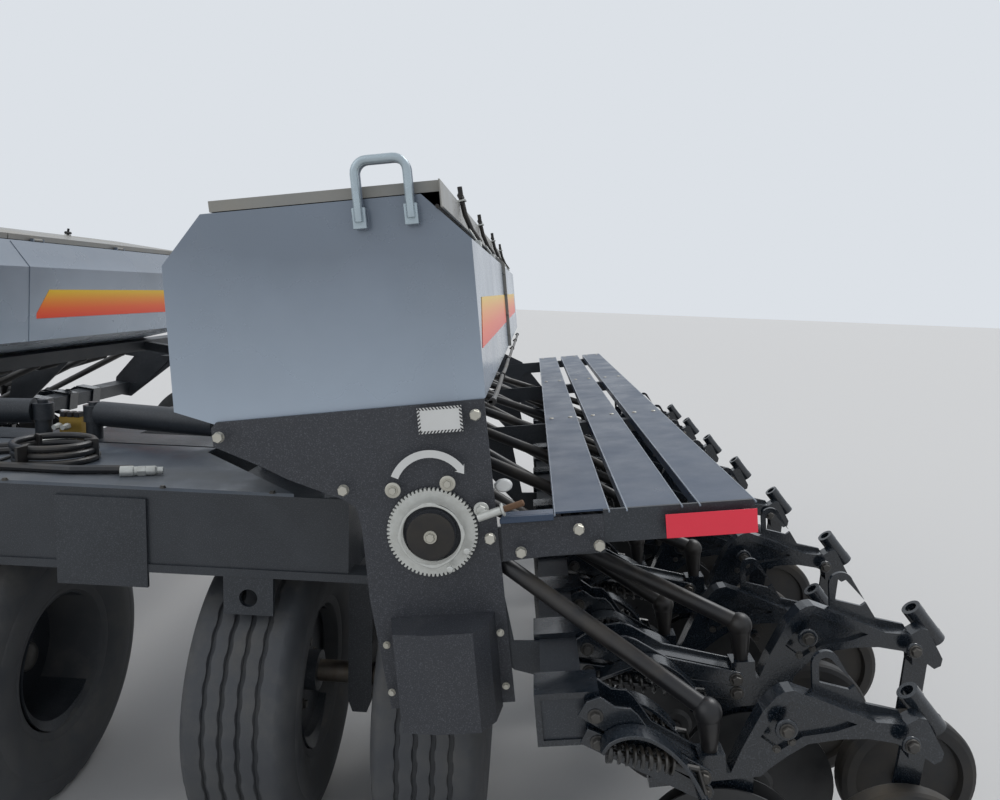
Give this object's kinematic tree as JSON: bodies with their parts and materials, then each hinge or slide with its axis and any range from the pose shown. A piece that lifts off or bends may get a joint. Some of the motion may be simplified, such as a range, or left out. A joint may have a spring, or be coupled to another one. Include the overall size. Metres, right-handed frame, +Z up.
{
  "type": "folding seed drill",
  "caption": "Folding seed drill, its wings laid forward along the drawbar, each with a long seed box, lids, a walkboard, slanted seed tubes and double disc openers.",
  "frame": {"origin": "On the ground, under the middle of the whole machine as it stands folded.", "axes": "+X to the right, +Y forward towards the hitch, +Z up."},
  "size_m": [4.8688, 5.66, 1.7382],
  "materials": {
    "frame_black": "satin",
    "box_grey": "gloss",
    "zinc_metal": "satin",
    "plain_steel": "satin",
    "deck_plate": "satin",
    "ochre_metal": "satin",
    "black_plastic": "matte",
    "black_rubber": "matte",
    "tyre_rubber": "matte"
  },
  "bodies": {
    "carriage": {"rear_beam": "frame_black", "deck": "deck_plate", "wheel_struts": "frame_black", "axles": "plain_steel", "drawbar": "frame_black", "hitch_clevis": "plain_steel", "jack_stand": "plain_steel", "wing_rest": "frame_black", "coupler_block": "ochre_metal", "hydraulic_hoses": "black_rubber"},
    "right_wheels": {"right_tyres": "tyre_rubber", "right_rims": "frame_black"},
    "left_wheels": {"left_tyres": "tyre_rubber", "left_rims": "frame_black"},
    "centre_wheel": {"centre_tyre": "tyre_rubber", "centre_rim": "frame_black"},
    "right_arm": {"right_fold_arm": "frame_black"},
    "right_barrel": {"right_fold_barrel": "frame_black"},
    "right_rod": {"right_fold_rod": "zinc_metal"},
    "right_wing": {"right_frame": "frame_black", "right_end_plates": "frame_black", "right_seed_box": "box_grey", "right_walkboard": "deck_plate", "right_drive_gear": "zinc_metal", "right_drive_cover": "frame_black", "right_meters": "black_plastic", "right_seed_tubes": "black_plastic", "right_opener_arms": "frame_black", "right_discs": "plain_steel"},
    "right_lid_rear": {"right_rear_lid": "box_grey"},
    "right_lid_front": {"right_front_lid": "box_grey"},
    "right_press_near": {"right_near_press_wheels": "black_rubber"},
    "right_press_far": {"right_far_press_wheels": "black_rubber"},
    "right_wing_wheel": {"right_wing_tyre": "tyre_rubber", "right_wing_rim": "frame_black"},
    "left_arm": {"left_fold_arm": "frame_black"},
    "left_barrel": {"left_fold_barrel": "frame_black"},
    "left_rod": {"left_fold_rod": "zinc_metal"},
    "left_wing": {"left_frame": "frame_black", "left_end_plates": "frame_black", "left_seed_box": "box_grey", "left_walkboard": "deck_plate", "left_drive_gear": "zinc_metal", "left_drive_cover": "frame_black", "left_meters": "black_plastic", "left_seed_tubes": "black_plastic", "left_opener_arms": "frame_black", "left_discs": "plain_steel"},
    "left_lid_rear": {"left_rear_lid": "box_grey"},
    "left_lid_front": {"left_front_lid": "box_grey"},
    "left_press_near": {"left_near_press_wheels": "black_rubber"},
    "left_press_far": {"left_far_press_wheels": "black_rubber"},
    "left_wing_wheel": {"left_wing_tyre": "tyre_rubber", "left_wing_rim": "frame_black"}
  },
  "joints": [
    {"name": "right_wheel_spin", "type": "hinge", "parent": "carriage", "child": "right_wheels", "pos_m": [0.971, -2.118, 0.39], "axis": [1, 0, 0], "continuous": true},
    {"name": "left_wheel_spin", "type": "hinge", "parent": "carriage", "child": "left_wheels", "pos_m": [-0.971, -2.118, 0.39], "axis": [1, 0, 0], "continuous": true},
    {"name": "centre_wheel_spin", "type": "hinge", "parent": "carriage", "child": "centre_wheel", "pos_m": [0, -2.118, 0.39], "axis": [1, 0, 0], "continuous": true},
    {"name": "right_fold", "type": "hinge", "parent": "carriage", "child": "right_arm", "pos_m": [0.755, -2.158, 1], "axis": [0, 0, -1], "range_deg": [0, 90]},
    {"name": "right_tilt", "type": "hinge", "parent": "right_arm", "child": "right_wing", "pos_m": [0.95114, -2.158, 1.04432], "axis": [0, 1, 0], "range_deg": [0, 7]},
    {"name": "right_rear_lid_hinge", "type": "hinge", "parent": "right_wing", "child": "right_lid_rear", "pos_m": [0.72752, -1.818, 1.61835], "axis": [0, -1, 0], "range_deg": [0, 100]},
    {"name": "right_front_lid_hinge", "type": "hinge", "parent": "right_wing", "child": "right_lid_front", "pos_m": [0.72752, -0.218, 1.61835], "axis": [0, -1, 0], "range_deg": [0, 100]},
    {"name": "right_near_press_spin", "type": "hinge", "parent": "right_wing", "child": "right_press_near", "pos_m": [2.1574, -1.088, 0.42672], "axis": [0, 1, 0], "continuous": true},
    {"name": "right_far_press_spin", "type": "hinge", "parent": "right_wing", "child": "right_press_far", "pos_m": [2.28445, -1.088, 0.44232], "axis": [0, 1, 0], "continuous": true},
    {"name": "right_wing_wheel_spin", "type": "hinge", "parent": "right_wing", "child": "right_wing_wheel", "pos_m": [0.68795, 0.712, 0.48004], "axis": [0, 1, 0], "continuous": true},
    {"name": "right_barrel_swing", "type": "hinge", "parent": "carriage", "child": "right_barrel", "pos_m": [0.08, -1.888, 1.062], "axis": [0, 0, 1], "range_deg": [0, 3.7]},
    {"name": "right_rod_slide", "type": "slide", "parent": "right_barrel", "child": "right_rod", "axis": [0.9787, -0.2051, 0], "range_m": [0, 0.31]},
    {"name": "left_fold", "type": "hinge", "parent": "carriage", "child": "left_arm", "pos_m": [-0.755, -2.158, 1], "axis": [0, 0, 1], "range_deg": [0, 90]},
    {"name": "left_tilt", "type": "hinge", "parent": "left_arm", "child": "left_wing", "pos_m": [-0.95114, -2.158, 1.04432], "axis": [0, -1, 0], "range_deg": [0, 7]},
    {"name": "left_rear_lid_hinge", "type": "hinge", "parent": "left_wing", "child": "left_lid_rear", "pos_m": [-0.72752, -1.818, 1.61835], "axis": [0, 1, 0], "range_deg": [0, 100]},
    {"name": "left_front_lid_hinge", "type": "hinge", "parent": "left_wing", "child": "left_lid_front", "pos_m": [-0.72752, -0.218, 1.61835], "axis": [0, 1, 0], "range_deg": [0, 100]},
    {"name": "left_near_press_spin", "type": "hinge", "parent": "left_wing", "child": "left_press_near", "pos_m": [-2.1574, -1.088, 0.42672], "axis": [0, 1, 0], "continuous": true},
    {"name": "left_far_press_spin", "type": "hinge", "parent": "left_wing", "child": "left_press_far", "pos_m": [-2.28445, -1.088, 0.44232], "axis": [0, 1, 0], "continuous": true},
    {"name": "left_wing_wheel_spin", "type": "hinge", "parent": "left_wing", "child": "left_wing_wheel", "pos_m": [-0.68795, 0.712, 0.48004], "axis": [0, 1, 0], "continuous": true},
    {"name": "left_barrel_swing", "type": "hinge", "parent": "carriage", "child": "left_barrel", "pos_m": [-0.08, -1.888, 1.062], "axis": [0, 0, -1], "range_deg": [0, 3.7]},
    {"name": "left_rod_slide", "type": "slide", "parent": "left_barrel", "child": "left_rod", "axis": [-0.9787, -0.2051, 0], "range_m": [0, 0.31]}
  ],
  "couplings": [
    {"joint": "right_barrel_swing", "follows": "right_fold", "ratio": 0.040617},
    {"joint": "right_rod_slide", "follows": "right_fold", "m_per_rad": 0.19556},
    {"joint": "left_barrel_swing", "follows": "left_fold", "ratio": 0.040617},
    {"joint": "left_rod_slide", "follows": "left_fold", "m_per_rad": 0.19556}
  ]
}
